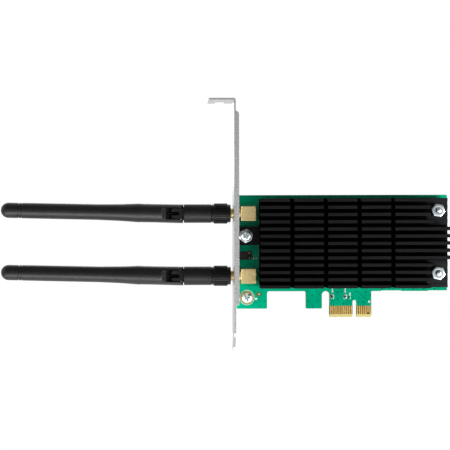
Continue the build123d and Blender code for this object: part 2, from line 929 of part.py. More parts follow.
def make_ferrule():
    """The plug's outer conductor, with ring groove and a barb inside the knuckle."""
    front_face = jack_seat - seat_gap
    step = jack_mouth - body_gap / 2
    body = turned_x([
        (front_face, 0),
        (front_face, ferrule_front_r),
        (step, ferrule_front_r),
        (step, ferrule_stem_r),
        (ring_front, ferrule_stem_r),
        (ring_front, ferrule_stem_r - ring_groove_depth),
        (ring_back, ferrule_stem_r - ring_groove_depth),
        (ring_back, ferrule_stem_r),
        (barb_front, ferrule_stem_r),
        (barb_front, barb_r),
        (barb_back, ferrule_stem_r),
        (ferrule_end, ferrule_stem_r),
        (ferrule_end, 0),
    ])
    bore_r = ferrule_bore_r
    body -= rod_x(front_face + 1, plug_core_end, bore_r)
    return body - rod_x(plug_core_end + 1, ferrule_end - 1, cable_r + body_gap)


def make_plug_insulator():
    """The plug's white insulator."""
    core = rod_x(jack_seat - seat_gap, plug_core_end, ferrule_bore_r - press_gap)
    return core - rod_x(jack_seat + 1, plug_core_end - 1, plug_socket_r + press_gap)


def make_plug_socket():
    """The plug's centre socket, bored for the jack's pin."""
    front_face = jack_seat - 2 * seat_gap
    socket = rod_x(front_face, plug_socket_end, plug_socket_r)
    return socket - rod_x(front_face + 1, front_face - plug_socket_depth, plug_socket_bore_r)


def knuckle_heel():
    """The heel behind the hinge, hollowed to follow the blade's rounded end."""
    half = heel_width / 2
    heel = rod_x(knuckle_shoulder + 1, heel_end, knuckle_r - knuckle_edge_r / 2)
    heel &= box(heel_end, knuckle_shoulder + 1, 0, knuckle_r, -half, half)
    return heel - post_z(-heel_width, heel_width, cheek_r + body_gap, pivot_x, 0)


def make_knuckle():
    """The antenna's base: a barrel that swivels on the plug, with two sprung prongs."""
    e = knuckle_edge_r
    body = turned_x([
        (knuckle_front, 0),
        (knuckle_front, knuckle_r - e),
        (knuckle_front - e, knuckle_r),
        (knuckle_shoulder + e / 2, knuckle_r),
        (knuckle_shoulder, knuckle_r - e / 2),
        (knuckle_shoulder, 0),
    ])
    body += rod_x(knuckle_front + knuckle_hub_length, knuckle_front - e, knuckle_hub_r)
    body += knuckle_heel()
    half_width = prong_width / 2
    tongue = box(pivot_x, knuckle_shoulder + 1, -prong_tip_r, prong_tip_r, -half_width, half_width)
    tongue += post_z(-half_width, half_width, prong_tip_r, pivot_x, 0)
    body += tongue + post_z(-boss_reach, boss_reach, boss_r, pivot_x, 0)
    half_slit = slit_width / 2
    body -= box(pivot_x - prong_tip_r - 1, slit_end, -knuckle_r, knuckle_r, -half_slit, half_slit)
    stem_bore_r = ferrule_stem_r + running_gap
    body -= rod_x(knuckle_front + 1, ferrule_end - body_gap, stem_bore_r)
    body -= rod_x(barb_front + running_gap, barb_back - running_gap, barb_r + running_gap)
    return body - rod_x(ferrule_end, slit_end - 1, cable_r + running_gap)


def make_cable_inner():
    """The coaxial cable's run from the plug to the hinge."""
    return rod_x(plug_socket_end - seat_gap, pivot_x + cable_break, cable_r)


def leaned(shape):
    """Tips a blade piece up about the hinge by the play that the real joint shows."""
    return Pos(pivot_x, 0, 0) * Rot(0, blade_lean, 0) * Pos(-pivot_x, 0, 0) * shape


def hinge_end():
    """The rounded end that leaves the blade's cheeks clear of the shoulder as it folds."""
    out = blade_outside
    solid = post_z(-out, out, cheek_r, pivot_x, 0)
    return solid + box(blade_end, pivot_x, -out, out, -out, out)


def make_blade():
    """The blade: cheeks, waisted barrel, flare and slim sleeve, bored for the radiator."""
    first = blade_profile[0]
    start = pivot_x + cheek_r
    barrel = turned_x([(start, 0), (start, first[1])] + list(blade_profile) + [(blade_profile[-1][0], 0)])
    tail = [(blade_end, blade_end_r), (blade_end, 0)]
    slim = turned_x([(flare_profile[0][0], 0)] + list(flare_profile) + tail)
    line = blade_profile[-1][0]
    seam = rod_x(line, line + parting_gap, blade_outside) - rod_x(
        line - 1, line + 1, blade_profile[-1][1] - parting_depth
    )
    body = (barrel + slim - seam) & hinge_end()
    half = slot_width / 2
    body -= box(slot_end, start + 1, -blade_outside, slot_back, -half, half)
    shelf = -(blade_profile[0][1] - relief_depth)
    r = relief_corner_r
    body -= box(relief_end + r, start + 1, -blade_outside, shelf, -half, half)
    body -= box(relief_end, relief_end + r, -blade_outside, shelf, r - half, half - r)
    for corner_z in (r - half, half - r):
        body -= peg_y(-blade_outside, shelf, r, relief_end + r, corner_z)
    body -= post_z(-boss_reach - hinge_gap, boss_reach + hinge_gap, boss_r + hinge_gap, pivot_x, 0)
    body -= rod_x(blade_bore_start, blade_bore_end, blade_bore_r)
    body -= rod_x(blade_bore_start - 1, slot_end + 1, cable_r + hinge_gap)
    return leaned(body)


def make_tip_cap():
    """The rounded cap pressed into the blade's end, with a ring between two grooves."""
    dome_start = tip_end + tip_r
    e = tip_edge_break
    points = [
        (tip_spigot_end, 0),
        (tip_spigot_end, tip_spigot_r),
        (blade_end - seat_gap, tip_spigot_r),
        (blade_end - seat_gap, tip_neck_r),
        (tip_ring_front, tip_neck_r),
        (tip_ring_front - e, tip_ring_r),
        (tip_ring_back, tip_ring_r),
        (tip_ring_back - e, tip_neck_r),
        (tip_neck, tip_neck_r),
        (tip_neck - e, tip_r - e / 2),
        (tip_neck - 3 * e, tip_r),
        (dome_start, tip_r),
    ]
    for step in range(1, tip_dome_steps + 1):
        angle = radians(90 * step / tip_dome_steps)
        points.append((dome_start - tip_r * sin(angle), tip_r * cos(angle)))
    return leaned(turned_x(points))


def make_cable_outer():
    """The coaxial cable's run from the hinge to the end of the radiator sleeve."""
    return leaned(rod_x(pivot_x - cable_break, sleeve_end, cable_r))


def make_radiator_sleeve():
    """The brass sleeve round the cable that forms the aerial's lower half."""
    inner = sleeve_r - sleeve_wall
    tube = rod_x(sleeve_start, sleeve_end, sleeve_r)
    tube -= rod_x(sleeve_start + 1, sleeve_end + sleeve_wall, inner)
    return leaned(tube - rod_x(sleeve_start + 1, sleeve_end - 1, cable_r + press_gap))


def make_radiator_wire():
    """The bared centre wire that forms the aerial's upper half."""
    return leaned(rod_x(sleeve_end, sleeve_end - wire_length, wire_r))


# The whole card

def card_nodes():
    """Every piece that stays fixed to the card."""
    return {
        "pcb": make_pcb(),
        "contacts_front": make_contacts(-1),
        "contacts_back": make_contacts(1),
        "screw_land": make_screw_land(),
        "spare_pad": make_spare_pad(),
        "wifi_chip": chip(wifi_chip_x, wifi_chip_z, wifi_chip_size, 0, chip_height),
        "frontend_chips": make_frontend_chips(),
        "thermal_pads": make_thermal_pads(),
        "crystal": make_crystal(),
        "chip_capacitors": make_chip_capacitors(),
        "edge_block": make_edge_block(),
        "edge_block_terminals": make_block_terminals(),
        "heatsink": make_heatsink(),
        "heatsink_spacers": make_spacers(),
        "heatsink_screws": make_heatsink_screws(),
        "heatsink_nuts": make_heatsink_nuts(),
        "ear_screw": make_ear_screw(),
        "bracket_screw": make_bracket_screw(),
        "bracket": make_bracket(),
        "jack_solder": make_solder_joints(),
    }


def jack_nodes(side, z):
    """The pieces of one jack, on its own axis."""
    place = Pos(0, jack_y, z)
    return {
        "jack_body_" + side: place * make_jack_body(),
        "jack_insulator_" + side: place * make_jack_insulator(),
        "jack_pin_" + side: place * make_jack_pin(),
    }


def antenna_nodes(side, z):
    """The pieces of one antenna, on its jack's axis."""
    place = Pos(0, jack_y, z)
    makers = {
        "plug_ferrule": make_ferrule,
        "plug_insulator": make_plug_insulator,
        "plug_socket": make_plug_socket,
        "snap_ring": make_snap_ring,
        "coupling_nut": make_coupling_nut,
        "nut_grip": make_grip,
        "knuckle": make_knuckle,
        "cable_inner": make_cable_inner,
        "blade": make_blade,
        "tip_cap": make_tip_cap,
        "cable_outer": make_cable_outer,
        "radiator_sleeve": make_radiator_sleeve,
        "radiator_wire": make_radiator_wire,
    }
    return {name + "_" + side: place * make() for name, make in makers.items()}


nodes = card_nodes()
for side, z in zip(("upper", "lower"), jack_z):
    nodes.update(jack_nodes(side, z))
    nodes.update(antenna_nodes(side, z))

for name, shape in nodes.items():
    export_step(shape, "parts/" + name + ".step")
    print(name, len(shape.solids()), "solids", round(shape.volume, 2), "mm3")
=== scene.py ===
"""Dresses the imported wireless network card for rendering.

Lengths are in millimetres in the card's own frame unless a name says otherwise. X runs along the
board away from the bracket, Z runs up out of the slot, and the component side faces -Y. The origin
is the middle of the connector's key notch, on its bottom edge.
"""

import logging
import math
from collections.abc import Iterable, Sequence
from dataclasses import dataclass
from enum import Enum

import bmesh
import bpy
from mathutils import Matrix, Vector

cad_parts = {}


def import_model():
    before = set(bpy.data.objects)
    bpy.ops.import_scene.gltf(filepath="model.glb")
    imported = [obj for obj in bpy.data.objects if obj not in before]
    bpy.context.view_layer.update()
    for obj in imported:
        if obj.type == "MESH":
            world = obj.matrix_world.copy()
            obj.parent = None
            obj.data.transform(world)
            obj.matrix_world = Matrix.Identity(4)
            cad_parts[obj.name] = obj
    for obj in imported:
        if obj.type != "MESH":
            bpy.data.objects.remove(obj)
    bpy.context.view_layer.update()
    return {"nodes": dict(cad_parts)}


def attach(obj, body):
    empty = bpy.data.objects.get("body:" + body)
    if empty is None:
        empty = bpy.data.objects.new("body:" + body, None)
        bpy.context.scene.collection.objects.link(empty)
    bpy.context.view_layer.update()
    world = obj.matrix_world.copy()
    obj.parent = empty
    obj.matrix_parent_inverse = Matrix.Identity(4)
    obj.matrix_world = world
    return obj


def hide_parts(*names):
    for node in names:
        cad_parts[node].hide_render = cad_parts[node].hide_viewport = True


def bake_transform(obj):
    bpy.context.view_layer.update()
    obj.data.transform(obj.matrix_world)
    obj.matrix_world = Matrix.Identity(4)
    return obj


LOG = logging.getLogger("network_card")
MM = 0.001
BOARD_FRONT = -0.785
BOARD_BACK = 0.785
JACK_Y = -4.085
JACK_Z = {"upper": 50.45, "lower": 20.45}

# Number and strength of a noise's finer layers, in patches of tone and in the grain
PATCH_LAYERS = (4.0, 0.6)
GRAIN_LAYERS = (3.0, 0.55)
# Noise values that count as a patch's two tones, and as the grain's two roughnesses
PATCH_SPREAD = (0.35, 0.65)
GRAIN_SPREAD = (0.3, 0.7)
# Angle between faces, in degrees, over which an edge stays sharp under smooth shading
SHARP_ANGLE = 35
# The same, over which an edge of a node is rounded
ROUNDED_ANGLE = 32
# Distance within which two vertices of a node's mesh are one
WELD_MM = 0.0005

Mesh = bmesh.types.BMesh
Object = bpy.types.Object
Material = bpy.types.Material
Tree = bpy.types.NodeTree
Socket = bpy.types.NodeSocket
Pair = tuple[float, float]
Colour = tuple[float, float, float, float]
Mixed = Socket | Colour | float
Inputs = dict[str | int, object]


class Grain(Enum):
    """Which way the fine marks of a surface run, as the scale of its pattern along X, Y and Z."""

    EVEN = (1.0, 1.0, 1.0)
    ALONG_X = (0.03, 1.0, 1.0)
    ALONG_Z = (1.0, 1.0, 0.03)
    ROUND_X = (1.0, 0.06, 0.06)


class Blend(Enum):
    """What a mix node mixes, with the numbers of its two inputs and of its output."""

    TONES = ("RGBA", 6, 7, 2)
    LEVELS = ("FLOAT", 2, 3, 0)


class Side(Enum):
    """The two faces of the board, by the sign of Y."""

    FRONT = -1
    BACK = 1


def linear(hex_colour: str) -> Colour:
    """Turns an sRGB colour to the linear values that Blender works in.

    Args:
        hex_colour: The colour as "#rrggbb".

    Returns:
        Linear red, green and blue, with an alpha of 1.
    """
    parts = [int(hex_colour[i : i + 2], 16) / 255 for i in (1, 3, 5)]
    red, green, blue = [v / 12.92 if v <= 0.04045 else ((v + 0.055) / 1.055) ** 2.4 for v in parts]
    return red, green, blue, 1.0


def add_node(tree: Tree, kind: str, settings: Inputs | None = None) -> bpy.types.Node:
    """Adds one node to a tree with its settings and links.

    Args:
        tree: The node tree that gets the node.
        kind: The node's type name.
        settings: Constants by property name, and constants or output sockets by input name or
            number. Properties that change the inputs come first.

    Returns:
        The new node.
    """
    node = tree.nodes.new(kind)
    for key, value in (settings or {}).items():
        if isinstance(value, Socket):
            tree.links.new(value, node.inputs[key])
        elif isinstance(key, str) and hasattr(node, key):
            setattr(node, key, value)
        else:
            node.inputs[key].default_value = value
    return node


def compute(tree: Tree, operation: str, first: Socket, second: Socket | float = 0.0) -> Socket:
    """Adds one operation on one or two values.

    Args:
        tree: The node tree that gets the node.
        operation: The operation, by Blender's name for it.
        first: First value.
        second: Second value, if the operation takes one.

    Returns:
        The result's socket.
    """
    settings = {"operation": operation, 0: first, 1: second}
    return add_node(tree, "ShaderNodeMath", settings).outputs[0]


def remap(
    tree: Tree, value: Socket, low: float, high: float, to_low: float = 0.0, to_high: float = 1.0
) -> Socket:
    """Turns one range of a value to another, and holds it at the ends.

    Args:
        tree: The node tree that gets the node.
        value: The value.
        low: Value that becomes to_low.
        high: Value that becomes to_high.
        to_low: Result at low.
        to_high: Result at high.

    Returns:
        The result's socket.
    """
    ends = {"From Min": low, "From Max": high, "To Min": to_low, "To Max": to_high}
    return add_node(tree, "ShaderNodeMapRange", {"Value": value, **ends}).outputs[0]


def mix(tree: Tree, blend: Blend, share: Socket, low: Mixed, high: Mixed) -> Socket:
    """Mixes two colours or two numbers.

    Args:
        tree: The node tree that gets the node.
        blend: Which of the two it mixes.
        share: Share of the second one.
        low: What a share of 0 gives.
        high: What a share of 1 gives.

    Returns:
        The result's socket.
    """
    data_type, low_key, high_key, output = blend.value
    settings = {"data_type": data_type, 0: share, low_key: low, high_key: high}
    return add_node(tree, "ShaderNodeMix", settings).outputs[output]


def noise(
    tree: Tree, coords: Socket, size_mm: float, detail: float = 2.0, roughness: float = 0.5
) -> Socket:
    """Adds a noise pattern.

    Args:
        tree: The node tree that gets the node.
        coords: The coordinates that it follows.
        size_mm: Size of its coarsest marks.
        detail: Number of finer layers.
        roughness: Strength of the finer layers.

    Returns:
        The pattern's socket.
    """
    layers = {"Scale": 1 / (size_mm * MM), "Detail": detail, "Roughness": roughness}
    return add_node(tree, "ShaderNodeTexNoise", {"Vector": coords, **layers}).outputs["Fac"]


def bump(tree: Tree, depth_mm: float, height: Socket) -> Socket:
    """Adds a bump as deep as given and returns its normal."""
    settings = {"Distance": depth_mm * MM, "Height": height}
    return add_node(tree, "ShaderNodeBump", settings).outputs[0]


def object_coords(tree: Tree, grain: Grain = Grain.EVEN) -> Socket:
    """Gives the piece's own coordinates, scaled the way that a grain runs.

    Args:
        tree: The node tree that gets the nodes.
        grain: Which way the grain runs.

    Returns:
        The coordinates' socket.
    """
    coords = add_node(tree, "ShaderNodeTexCoord").outputs["Object"]
    settings = {"Scale": grain.value, "Vector": coords}
    return add_node(tree, "ShaderNodeMapping", settings).outputs[0]


def split_axes(tree: Tree, coords: Socket) -> tuple[Socket, Socket, Socket]:
    """Splits coordinates into X, Y and Z."""
    x, y, z = add_node(tree, "ShaderNodeSeparateXYZ", {0: coords}).outputs
    return x, y, z


def new_material(name: str) -> tuple[Material, Tree]:
    """Makes an empty node material.

    Args:
        name: The material's name.

    Returns:
        The material and its tree.
    """
    material = bpy.data.materials.new(name)
    material.use_nodes = True
    material.node_tree.nodes.clear()
    return material, material.node_tree


def add_shader(tree: Tree, settings: Inputs) -> None:
    """Ends a material with its surface shader.

    Args:
        tree: The material's node tree.
        settings: Constants or output sockets by the shader's input name.
    """
    shader = add_node(tree, "ShaderNodeBsdfPrincipled", settings)
    add_node(tree, "ShaderNodeOutputMaterial", {"Surface": shader.outputs[0]})


@dataclass(frozen=True)
class Finish:
    """A material of one kind all over, with soft patches of tone and a fine grain.

    Attributes:
        name: The real material and process.
        tone: Main colour.
        patch_tone: Colour that it drifts to in patches.
        rough: Lowest and highest roughness.
        grain_mm: Size of the grain.
        depth_mm: Height of the grain.
        patch_mm: Size of the patches of tone.
        grain: Which way the grain runs.
        metallic: 1 for bare metal.
        ior: Index of refraction of what isn't metal.
    """

    name: str
    tone: str
    patch_tone: str
    rough: Pair
    grain_mm: float
    depth_mm: float
    patch_mm: float = 5.0
    grain: Grain = Grain.EVEN
    metallic: float = 0.0
    ior: float = 1.5

    def make(self) -> Material:
        """Builds the material.

        Returns:
            The node material.
        """
        material, tree = new_material(self.name)
        along = object_coords(tree, self.grain)
        patches = remap(tree, noise(tree, along, self.patch_mm, *PATCH_LAYERS), *PATCH_SPREAD)
        tone = mix(tree, Blend.TONES, patches, linear(self.tone), linear(self.patch_tone))
        grain = noise(tree, along, self.grain_mm, *GRAIN_LAYERS)
        rough = remap(tree, grain, *GRAIN_SPREAD, *self.rough)
        add_shader(
            tree,
            {
                "Base Color": tone,
                "Metallic": self.metallic,
                "Roughness": rough,
                "IOR": self.ior,
                "Normal": bump(tree, self.depth_mm, grain),
            },
        )
        return material


@dataclass(frozen=True)
class BoardFinish:
    """Green solder mask over glass-epoxy laminate, bare at its cut edges and round the contacts.

    Attributes:
        name: The real material and process.
        mask: Mask colour over copper.
        mask_deep: Mask colour where the copper under it stops.
        edge: Colour of the cut laminate, pale and slightly yellow.
        bare: Colour of the unmasked laminate between the contacts.
        skin_mm: Distance from the mid-plane beyond which a point is on a face.
        bare_top_mm: Height of the unmasked strip.
        bare_left_mm: Where the unmasked strip starts along X.
        bevel_top_mm: Height of the bevel's upper edge, below which the laminate is cut.
        pour_mm: Size of the copper areas that tint the mask.
        pour_spread: Noise values between which the mask turns deeper.
        rough: Roughness of bare laminate and of mask.
        weave_mm: Width of the glass bundles.
        weave_depth_mm: Height of the bundles.
        ior: Index of refraction, kept low because the real mask shows hardly any glare here.
    """

    name: str = "solder_mask_epoxy_on_laminate"
    mask: str = "#00B083"
    mask_deep: str = "#00A178"
    edge: str = "#D9CC88"
    bare: str = "#3A280C"
    skin_mm: float = 0.745
    bare_top_mm: float = 5.52
    bare_left_mm: float = -13.0
    bevel_top_mm: float = 1.45
    pour_mm: float = 9.0
    pour_spread: Pair = (0.40, 0.62)
    rough: Pair = (0.62, 0.33)
    weave_mm: float = 0.6
    weave_depth_mm: float = 0.006
    ior: float = 1.1

    def make(self) -> Material:
        """Builds the material.

        Returns:
            The node material.
        """
        material, tree = new_material(self.name)
        coords = object_coords(tree)
        x, y, z = split_axes(tree, coords)
        on_face = compute(tree, "GREATER_THAN", compute(tree, "ABSOLUTE", y), self.skin_mm * MM)
        above = compute(tree, "GREATER_THAN", z, self.bare_top_mm * MM)
        beside = compute(tree, "LESS_THAN", x, self.bare_left_mm * MM)
        masked = compute(tree, "MULTIPLY", compute(tree, "MAXIMUM", above, beside), on_face)
        pour = remap(tree, noise(tree, coords, self.pour_mm), *self.pour_spread)
        mask = mix(tree, Blend.TONES, pour, linear(self.mask), linear(self.mask_deep))
        uncut = compute(tree, "GREATER_THAN", z, self.bevel_top_mm * MM)
        etched = compute(tree, "MULTIPLY", on_face, uncut)
        laminate = mix(tree, Blend.TONES, etched, linear(self.edge), linear(self.bare))
        weave = noise(tree, coords, self.weave_mm)
        add_shader(
            tree,
            {
                "IOR": self.ior,
                "Base Color": mix(tree, Blend.TONES, masked, laminate, mask),
                "Roughness": remap(tree, masked, 0.0, 1.0, *self.rough),
                "Normal": bump(tree, self.weave_depth_mm, weave),
            },
        )
        return material


@dataclass(frozen=True)
class HeatsinkFinish:
    """Black anodised extruded aluminium, drawn lines along the fins, greyer where it was milled,
    painted shade deep in the grooves.

    Attributes:
        name: The real material and process.
        black: Colour of the anodised skin.
        black_worn: Colour in its lighter streaks.
        milled: Colour of the milled floors.
        milled_from_mm: Where the milled pockets start along X.
        milled_above_mm: Height off the board below which those floors lie.
        pocket_middle_mm: Middle of the fins that run through between the pockets, along Z.
        pocket_half_mm: Distance from there at which the pockets start.
        groove_left_mm: Where the grooves start along X.
        groove_top_mm: Height off the board at which the painted shade in the grooves starts: their
            reflection is turned down below it.
        groove_deep_mm: Height below which that painted shade is full.
        line_mm: Distance between the drawn lines.
        line_spread: Noise values between which a line turns lighter.
        line_depth_mm: Depth of the lines.
        rough: Lowest and highest roughness.
        sheen: Specular level of the skin, and of the floors where the painted shade is full.
        ior: Index of refraction of the dyed oxide skin.
    """

    name: str = "aluminium_black_anodised"
    black: str = "#0B0B0C"
    black_worn: str = "#121214"
    milled: str = "#1A1B1D"
    milled_from_mm: float = 34.3
    milled_above_mm: float = 4.5
    pocket_middle_mm: float = 36.175
    pocket_half_mm: float = 8.6
    groove_left_mm: float = -46.4
    groove_top_mm: float = 10.8
    groove_deep_mm: float = 8.0
    line_mm: float = 0.35
    line_spread: Pair = (0.35, 0.7)
    line_depth_mm: float = 0.012
    rough: Pair = (0.42, 0.56)
    sheen: Pair = (0.5, 0.02)
    ior: float = 1.2

    def make(self) -> Material:
        """Builds the material.

        Returns:
            The node material.
        """
        material, tree = new_material(self.name)
        along = object_coords(tree, Grain.ALONG_X)
        lines = noise(tree, along, self.line_mm, *PATCH_LAYERS)
        streaks = remap(tree, lines, *self.line_spread)
        skin = mix(tree, Blend.TONES, streaks, linear(self.black), linear(self.black_worn))
        x, y, z = split_axes(tree, object_coords(tree))
        beyond = compute(tree, "GREATER_THAN", x, self.milled_from_mm * MM)
        low = compute(tree, "GREATER_THAN", y, (BOARD_FRONT - self.milled_above_mm) * MM)
        offset = compute(tree, "SUBTRACT", z, self.pocket_middle_mm * MM)
        aside = compute(tree, "ABSOLUTE", offset)
        outside = compute(tree, "GREATER_THAN", aside, self.pocket_half_mm * MM)
        pocket = compute(tree, "MULTIPLY", beyond, outside)
        milled = compute(tree, "MULTIPLY", pocket, low)
        # Painted shade: below the fins' tops the grooves' reflection is turned down with depth, so
        # that they look dark
        top, deep = [(BOARD_FRONT - mm) * MM for mm in (self.groove_top_mm, self.groove_deep_mm)]
        finned = compute(tree, "GREATER_THAN", x, self.groove_left_mm * MM)
        grooved = compute(tree, "SUBTRACT", finned, pocket)
        groove_painted_shade = compute(tree, "MULTIPLY", grooved, remap(tree, y, top, deep))
        add_shader(
            tree,
            {
                "IOR": self.ior,
                "Base Color": mix(tree, Blend.TONES, milled, skin, linear(self.milled)),
                "Roughness": remap(tree, lines, *GRAIN_SPREAD, *self.rough),
                "Specular IOR Level": remap(tree, groove_painted_shade, 0.0, 1.0, *self.sheen),
                "Normal": bump(tree, self.line_depth_mm, lines),
            },
        )
        return material


# Hard gold over nickel, plated on copper: warm, bright and even, with faint wiping marks
CONTACT_GOLD = Finish(
    "gold_hard_plated", "#ECC77C", "#DDB66B", (0.24, 0.38), 0.4, 0.004, 3.0, Grain.ALONG_Z, 1.0
)
# Gold flash over cast and blasted brass: the same hue, but soft and slightly grainy
JACK_GOLD = Finish(
    "gold_flash_on_blasted_brass", "#CFBC8A", "#B4A172", (0.44, 0.56), 0.4, 0.016, 0.6, metallic=1.0
)
# Gold flash over turned brass: tool rings, browner and shinier than the blasted block
TURNED_GOLD = Finish(
    "gold_flash_on_turned_brass", "#C2A268", "#8E6F3A", (0.26, 0.38), 0.25, 0.004, 3.0,
    Grain.ROUND_X, 1.0,
)
# Plain brass tube, hidden in the blade: yellow, with long draw lines
PLAIN_BRASS = Finish(
    "brass_drawn_tube", "#C9A14A", "#B48A38", (0.30, 0.42), 0.4, 0.004, 4.0, Grain.ALONG_X, 1.0
)
# Gold flash on a formed terminal, dulled by handling: a darker brown gold
TERMINAL_GOLD = Finish(
    "gold_flash_on_formed_bronze", "#A8854C", "#8E6C38", (0.34, 0.46), 0.3, 0.006, 1.0, metallic=1.0
)
# Phosphor bronze strip for the snap ring: redder than brass
SPRING_BRONZE = Finish(
    "phosphor_bronze_spring", "#B9824A", "#A46F3B", (0.28, 0.40), 0.3, 0.004, metallic=1.0
)
# Copper wire, drawn: pink and smooth
BARE_COPPER = Finish(
    "copper_drawn_wire", "#D98C66", "#C67A55", (0.22, 0.34), 0.3, 0.003, metallic=1.0
)
# Bright zinc on pressed steel: pale, slightly blue, with soft highlights and a cloudy tone
ZINC_STEEL = Finish(
    "steel_bright_zinc_plated", "#D3DBDE", "#C2CBCF", (0.26, 0.38), 0.5, 0.006, 2.0, metallic=1.0
)
# Nickel on rolled steel sheet: grey, with a crystalline speckle drawn coarser to show
BRACKET_STEEL = Finish(
    "steel_sheet_nickel_plated", "#F0F0EF", "#CDCDCC", (0.22, 0.32), 0.5, 0.006, 0.6, metallic=1.0
)
# Tinned and reflowed solder: smooth and grey
SOLDER = Finish(
    "solder_tin_reflowed", "#C4C7C9", "#A9AEB2", (0.22, 0.36), 0.5, 0.006, 1.2, metallic=1.0
)
# ABS moulded in a spark-eroded tool: near black, its grain drawn coarser to show
ANTENNA_ABS = Finish(
    "abs_moulded_fine_texture", "#0D0D0E", "#131314", (0.30, 0.42), 0.55, 0.050, 6.0
)
# The same plastic where the tool was etched more coarsely: its highlight is wider and dimmer
KNUCKLE_ABS = Finish(
    "abs_moulded_coarse_texture", "#0D0D0E", "#131314", (0.36, 0.50), 0.6, 0.070, 5.0, ior=1.38
)
# The same plastic from a smoother tool: an even satin
GRIP_ABS = Finish(
    "abs_moulded_satin", "#0D0D0E", "#121213", (0.32, 0.42), 0.5, 0.012, 5.0, ior=1.36
)
# Epoxy moulding compound round a chip: dull black, faint specks
CHIP_EPOXY = Finish(
    "epoxy_chip_package", "#101011", "#17171A", (0.50, 0.65), 0.3, 0.010, 2.0, ior=1.3
)
# Glass-filled nylon block: a dull black, slightly brown
BLOCK_NYLON = Finish(
    "nylon_moulded_block", "#141210", "#1B1815", (0.48, 0.62), 0.4, 0.012, 2.0, ior=1.3
)
# Barium titanate ceramic, fired: grey brown and dull
CERAMIC = Finish("ceramic_fired_capacitor", "#34302D", "#413C38", (0.45, 0.60), 0.3, 0.006, 0.8)
# Turned fluoropolymer insulator: waxy white
PTFE = Finish(
    "ptfe_turned", "#ECEAE4", "#E0DDD5", (0.40, 0.52), 0.3, 0.006, 2.0, Grain.ROUND_X, ior=1.38
)
# White epoxy ink, screen printed: chalky and slightly uneven
INK = Finish("epoxy_ink_screen_printed", "#E6EEEA", "#CFDAD5", (0.60, 0.75), 0.2, 0.004, 0.8)
# The same ink in a thin pass that the mask shows through: a grey green
THIN_INK = Finish("epoxy_ink_thin_pass", "#6F8F82", "#5B7C6F", (0.55, 0.70), 0.2, 0.004, 0.8)
# Mask where it sinks over a bare gap between copper areas: a darker green
MASK_GROOVE = Finish(
    "solder_mask_over_bare_gap", "#037052", "#047A58", (0.40, 0.52), 0.3, 0.004, 1.5, ior=1.1
)
# Mask sunk into a plugged via: nearly black green
MASK_DIMPLE = Finish(
    "solder_mask_in_via", "#022A20", "#033528", (0.40, 0.52), 0.2, 0.004, 0.6, ior=1.1
)
# Bare glass-epoxy laminate in a mask opening: dark olive brown
BARE_LAMINATE = Finish(
    "laminate_bare_in_mask_opening", "#3B3A1C", "#4A4624", (0.50, 0.65), 0.3, 0.006, 0.8
)
# Gap-filling silicone pad: matt blue grey
SILICONE_PAD = Finish(
    "silicone_gap_pad", "#8C979C", "#7E898E", (0.70, 0.85), 0.5, 0.020, 2.0, ior=1.41
)
# Unpigmented nylon washer: a warm off-white
NYLON_WASHER = Finish("nylon_natural_washer", "#D9D4C6", "#CBC5B5", (0.45, 0.58), 0.4, 0.010, 2.0)
# PVC cable jacket, extruded: a dull black
CABLE_JACKET = Finish(
    "pvc_cable_jacket", "#0C0C0C", "#101010", (0.55, 0.65), 0.4, 0.006, 2.0, Grain.ALONG_X, ior=1.3
)

# A rectangle on the board: left, right, bottom and top
Area = tuple[float, float, float, float]
# A shape on the board: its middle along X and Z, and two sizes
Spot = tuple[float, float, float, float]
# The small capacitors, with their widths and heights. The first two have printed frames.
CAPACITORS: tuple[Spot, ...] = (
    (-10.62, 10.0, 0.8, 1.6),
    (-4.44, 10.0, 0.8, 1.6),
    (-2.20, 9.45, 0.5, 1.0),
    (-48.35, 28.75, 1.6, 0.8),
)
# The printed frame and the two blank tags of a capacitor, from its middle
CAPACITOR_MARKS: tuple[Area, ...] = (
    (-0.86, -0.56, -1.3, 1.3),
    (0.50, 0.70, -1.3, 1.3),
    (-0.86, -0.30, -1.32, -1.12),
    (0.30, 0.68, -1.32, -1.12),
    (-0.86, -0.30, 1.12, 1.32),
    (0.30, 0.68, 1.12, 1.32),
    (-0.40, 0.30, 2.0, 2.7),
    (-0.30, 0.20, 2.95, 3.9),
)
# The other bright bars: two blank tags by the third capacitor and one by the bracket's screw
BRIGHT_BARS: tuple[Area, ...] = (
    (-2.60, -1.85, 10.35, 11.0),
    (-2.60, -1.85, 11.2, 11.85),
    (-48.35, -47.15, 8.55, 9.45),
)
# The thin outline round a jack, whose heights are from the jack's middle
JACK_OUTLINE: Area = (-57.0, -47.55, -4.3, 4.1)
# The other thin bars: round the black block, by its capacitor, at the jacks and along the heatsink
THIN_BARS: tuple[Area, ...] = (
    (-49.95, -49.79, 28.3, 32.4),
    (-50.6, -49.79, 32.4, 32.56),
    (-50.6, -49.79, 28.14, 28.3),
    (-49.0, -47.7, 29.75, 30.35),
    (-48.75, -48.55, 43.95, 45.9),
    (-48.75, -48.55, 24.3, 26.0),
    (-46.75, -46.5, 15.6, 35.0),
    (-46.75, -46.5, 44.2, 57.0),
)
# Rows of vias along the board's edges: right end, height and number
VIA_PITCH = 5.05
VIA_ROWS = ((38.9, 58.35, 18), (43.85, 13.7, 7))
# Single vias
VIA_SPOTS = (
    (-22.7, 12.6), (-18.4, 12.6), (-16.9, 11.2), (-20.5, 10.4), (-22.7, 7.9), (-17.9, 7.9),
    (-20.4, 5.4), (-48.4, 12.6), (-43.5, 7.9), (-46.0, 5.4), (-51.2, 15.4), (-8.2, 12.2),
    (-6.3, 12.2), (-8.2, 8.8), (-8.5, 6.4), (-5.3, 6.4), (-0.7, 9.3), (2.0, 9.3),
    (2.0, 7.2), (4.0, 7.4), (4.7, 7.2), (5.5, 12.2), (5.5, 10.7), (7.8, 10.7),
)
# Vias that only the solder side shows: three rows of 14, a little uneven
BACK_VIAS = [
    (-30.0 + 4.4 * i, 24.0 + 12.5 * j + 2.1 * (i % 3)) for i in range(14) for j in range(3)
]
